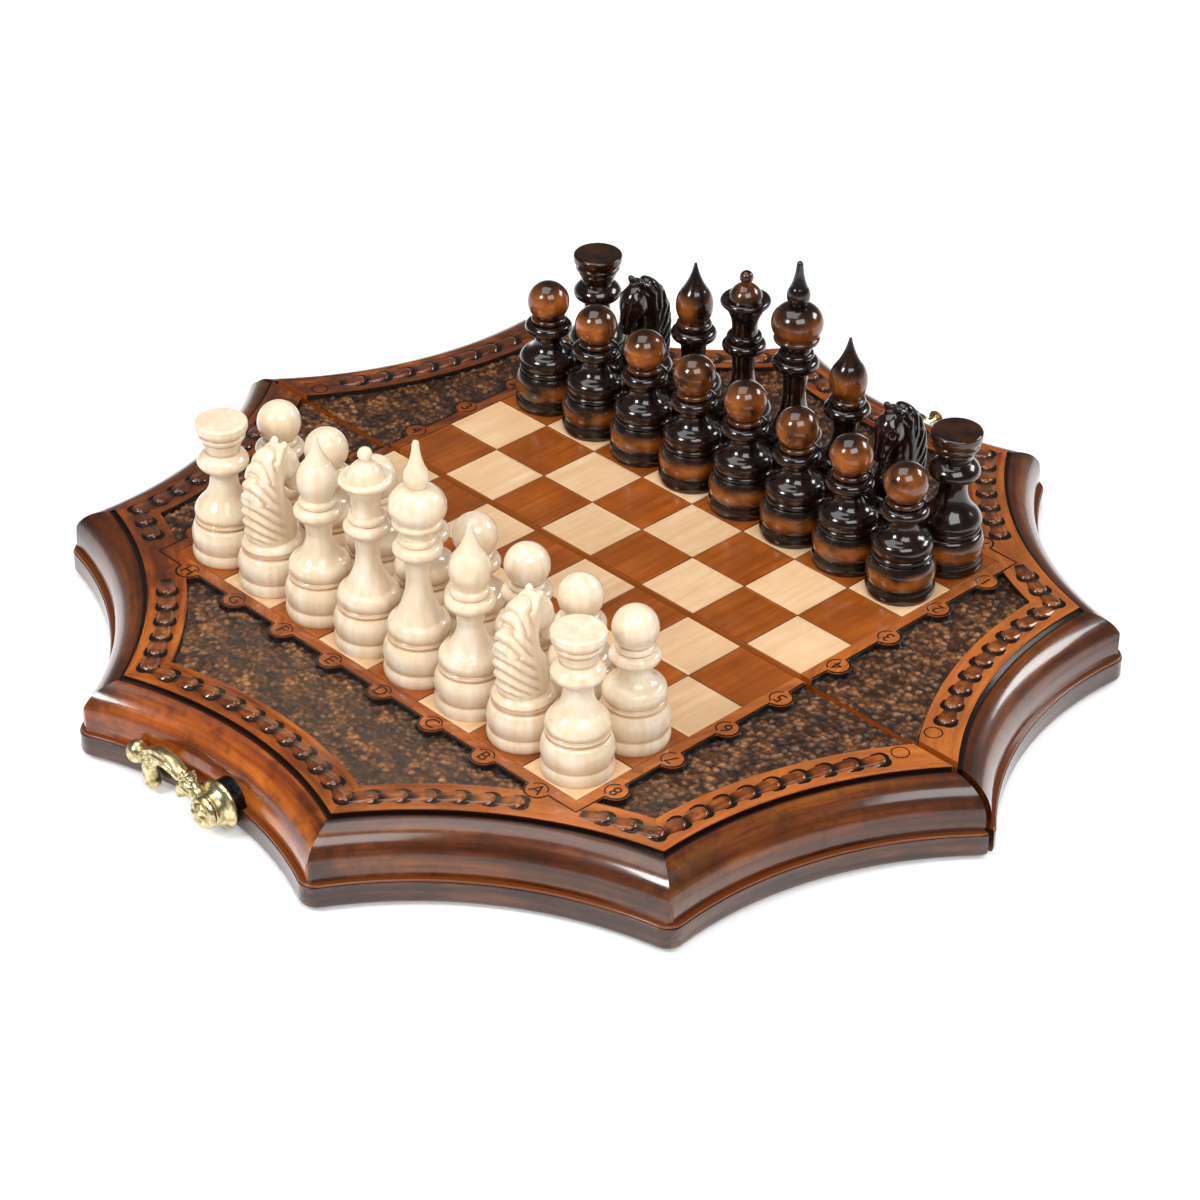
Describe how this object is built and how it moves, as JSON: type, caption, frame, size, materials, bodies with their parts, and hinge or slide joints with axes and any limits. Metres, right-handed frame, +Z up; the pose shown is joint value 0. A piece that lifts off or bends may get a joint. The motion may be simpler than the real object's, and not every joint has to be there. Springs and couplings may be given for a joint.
{
  "type": "folding star chess set",
  "caption": "Folding star-shaped wooden chess box lying open as a board, with a brass swing hook and turned light and dark chess pieces set up for play.",
  "frame": {"origin": "on the table, under the middle of the fold between the two halves", "axes": "+Z up, +X along the fold, the light pieces' half on -Y, the dark pieces' half on +Y"},
  "size_m": [0.401, 0.386, 0.1256],
  "materials": {
    "ivory_wood": "glossy lacquer",
    "black_wood": "glossy lacquer",
    "maple_squares": "glossy lacquer",
    "walnut_squares": "glossy lacquer",
    "carved_walnut": "carved, glossy lacquer",
    "walnut_frame": "glossy lacquer",
    "antique_brass": "antique, worn bright",
    "blackened_steel": "satin black"
  },
  "bodies": {
    "near_half": {"near_top_panel": "carved_walnut", "near_rim_moulding": "walnut_frame", "near_base_band": "walnut_frame", "near_fold_rail": "walnut_frame", "near_hinge_leaves": "antique_brass", "near_hinge_screws": "antique_brass", "near_light_squares": "maple_squares", "near_dark_squares": "walnut_squares", "hinge_pins": "antique_brass", "latch_backplate": "blackened_steel", "latch_pivot_screw": "antique_brass"},
    "far_half": {"far_top_panel": "carved_walnut", "far_rim_moulding": "walnut_frame", "far_base_band": "walnut_frame", "far_fold_rail": "walnut_frame", "far_hinge_leaves": "antique_brass", "far_hinge_screws": "antique_brass", "far_light_squares": "maple_squares", "far_dark_squares": "walnut_squares", "catch_plate": "antique_brass", "catch_stud": "antique_brass"},
    "latch_hook": {"latch_hook": "antique_brass"},
    "light_rook_1": {"light_rook_1": "ivory_wood"},
    "light_knight_1": {"light_knight_1": "ivory_wood"},
    "light_bishop_1": {"light_bishop_1": "ivory_wood"},
    "light_queen": {"light_queen": "ivory_wood"},
    "light_king": {"light_king": "ivory_wood"},
    "light_bishop_2": {"light_bishop_2": "ivory_wood"},
    "light_knight_2": {"light_knight_2": "ivory_wood"},
    "light_rook_2": {"light_rook_2": "ivory_wood"},
    "light_pawn_1": {"light_pawn_1": "ivory_wood"},
    "light_pawn_2": {"light_pawn_2": "ivory_wood"},
    "light_pawn_3": {"light_pawn_3": "ivory_wood"},
    "light_pawn_4": {"light_pawn_4": "ivory_wood"},
    "light_pawn_5": {"light_pawn_5": "ivory_wood"},
    "light_pawn_6": {"light_pawn_6": "ivory_wood"},
    "light_pawn_7": {"light_pawn_7": "ivory_wood"},
    "light_pawn_8": {"light_pawn_8": "ivory_wood"},
    "dark_rook_1": {"dark_rook_1": "black_wood"},
    "dark_knight_1": {"dark_knight_1": "black_wood"},
    "dark_bishop_1": {"dark_bishop_1": "black_wood"},
    "dark_queen": {"dark_queen": "black_wood"},
    "dark_king": {"dark_king": "black_wood"},
    "dark_bishop_2": {"dark_bishop_2": "black_wood"},
    "dark_knight_2": {"dark_knight_2": "black_wood"},
    "dark_rook_2": {"dark_rook_2": "black_wood"},
    "dark_pawn_1": {"dark_pawn_1": "black_wood"},
    "dark_pawn_2": {"dark_pawn_2": "black_wood"},
    "dark_pawn_3": {"dark_pawn_3": "black_wood"},
    "dark_pawn_4": {"dark_pawn_4": "black_wood"},
    "dark_pawn_5": {"dark_pawn_5": "black_wood"},
    "dark_pawn_6": {"dark_pawn_6": "black_wood"},
    "dark_pawn_7": {"dark_pawn_7": "black_wood"},
    "dark_pawn_8": {"dark_pawn_8": "black_wood"}
  },
  "joints": [
    {"name": "fold", "type": "hinge", "parent": "near_half", "child": "far_half", "pos_m": [0, 0, 0.00125], "axis": [-1, 0, 0], "range_deg": [0, 180]},
    {"name": "hook_swing", "type": "hinge", "parent": "near_half", "child": "latch_hook", "pos_m": [0.006, -0.185, 0.011], "axis": [0, -1, 0], "range_deg": [-45, 92.3]},
    {"name": "light_rook_1_lift", "type": "slide", "parent": "near_half", "child": "light_rook_1", "axis": [0, 0, 1], "range_m": [0, 0.12]},
    {"name": "light_knight_1_lift", "type": "slide", "parent": "near_half", "child": "light_knight_1", "axis": [0, 0, 1], "range_m": [0, 0.12]},
    {"name": "light_bishop_1_lift", "type": "slide", "parent": "near_half", "child": "light_bishop_1", "axis": [0, 0, 1], "range_m": [0, 0.12]},
    {"name": "light_queen_lift", "type": "slide", "parent": "near_half", "child": "light_queen", "axis": [0, 0, 1], "range_m": [0, 0.12]},
    {"name": "light_king_lift", "type": "slide", "parent": "near_half", "child": "light_king", "axis": [0, 0, 1], "range_m": [0, 0.12]},
    {"name": "light_bishop_2_lift", "type": "slide", "parent": "near_half", "child": "light_bishop_2", "axis": [0, 0, 1], "range_m": [0, 0.12]},
    {"name": "light_knight_2_lift", "type": "slide", "parent": "near_half", "child": "light_knight_2", "axis": [0, 0, 1], "range_m": [0, 0.12]},
    {"name": "light_rook_2_lift", "type": "slide", "parent": "near_half", "child": "light_rook_2", "axis": [0, 0, 1], "range_m": [0, 0.12]},
    {"name": "light_pawn_1_lift", "type": "slide", "parent": "near_half", "child": "light_pawn_1", "axis": [0, 0, 1], "range_m": [0, 0.12]},
    {"name": "light_pawn_2_lift", "type": "slide", "parent": "near_half", "child": "light_pawn_2", "axis": [0, 0, 1], "range_m": [0, 0.12]},
    {"name": "light_pawn_3_lift", "type": "slide", "parent": "near_half", "child": "light_pawn_3", "axis": [0, 0, 1], "range_m": [0, 0.12]},
    {"name": "light_pawn_4_lift", "type": "slide", "parent": "near_half", "child": "light_pawn_4", "axis": [0, 0, 1], "range_m": [0, 0.12]},
    {"name": "light_pawn_5_lift", "type": "slide", "parent": "near_half", "child": "light_pawn_5", "axis": [0, 0, 1], "range_m": [0, 0.12]},
    {"name": "light_pawn_6_lift", "type": "slide", "parent": "near_half", "child": "light_pawn_6", "axis": [0, 0, 1], "range_m": [0, 0.12]},
    {"name": "light_pawn_7_lift", "type": "slide", "parent": "near_half", "child": "light_pawn_7", "axis": [0, 0, 1], "range_m": [0, 0.12]},
    {"name": "light_pawn_8_lift", "type": "slide", "parent": "near_half", "child": "light_pawn_8", "axis": [0, 0, 1], "range_m": [0, 0.12]},
    {"name": "dark_rook_1_lift", "type": "slide", "parent": "far_half", "child": "dark_rook_1", "axis": [0, 0, 1], "range_m": [0, 0.12]},
    {"name": "dark_knight_1_lift", "type": "slide", "parent": "far_half", "child": "dark_knight_1", "axis": [0, 0, 1], "range_m": [0, 0.12]},
    {"name": "dark_bishop_1_lift", "type": "slide", "parent": "far_half", "child": "dark_bishop_1", "axis": [0, 0, 1], "range_m": [0, 0.12]},
    {"name": "dark_queen_lift", "type": "slide", "parent": "far_half", "child": "dark_queen", "axis": [0, 0, 1], "range_m": [0, 0.12]},
    {"name": "dark_king_lift", "type": "slide", "parent": "far_half", "child": "dark_king", "axis": [0, 0, 1], "range_m": [0, 0.12]},
    {"name": "dark_bishop_2_lift", "type": "slide", "parent": "far_half", "child": "dark_bishop_2", "axis": [0, 0, 1], "range_m": [0, 0.12]},
    {"name": "dark_knight_2_lift", "type": "slide", "parent": "far_half", "child": "dark_knight_2", "axis": [0, 0, 1], "range_m": [0, 0.12]},
    {"name": "dark_rook_2_lift", "type": "slide", "parent": "far_half", "child": "dark_rook_2", "axis": [0, 0, 1], "range_m": [0, 0.12]},
    {"name": "dark_pawn_1_lift", "type": "slide", "parent": "far_half", "child": "dark_pawn_1", "axis": [0, 0, 1], "range_m": [0, 0.12]},
    {"name": "dark_pawn_2_lift", "type": "slide", "parent": "far_half", "child": "dark_pawn_2", "axis": [0, 0, 1], "range_m": [0, 0.12]},
    {"name": "dark_pawn_3_lift", "type": "slide", "parent": "far_half", "child": "dark_pawn_3", "axis": [0, 0, 1], "range_m": [0, 0.12]},
    {"name": "dark_pawn_4_lift", "type": "slide", "parent": "far_half", "child": "dark_pawn_4", "axis": [0, 0, 1], "range_m": [0, 0.12]},
    {"name": "dark_pawn_5_lift", "type": "slide", "parent": "far_half", "child": "dark_pawn_5", "axis": [0, 0, 1], "range_m": [0, 0.12]},
    {"name": "dark_pawn_6_lift", "type": "slide", "parent": "far_half", "child": "dark_pawn_6", "axis": [0, 0, 1], "range_m": [0, 0.12]},
    {"name": "dark_pawn_7_lift", "type": "slide", "parent": "far_half", "child": "dark_pawn_7", "axis": [0, 0, 1], "range_m": [0, 0.12]},
    {"name": "dark_pawn_8_lift", "type": "slide", "parent": "far_half", "child": "dark_pawn_8", "axis": [0, 0, 1], "range_m": [0, 0.12]}
  ]
}
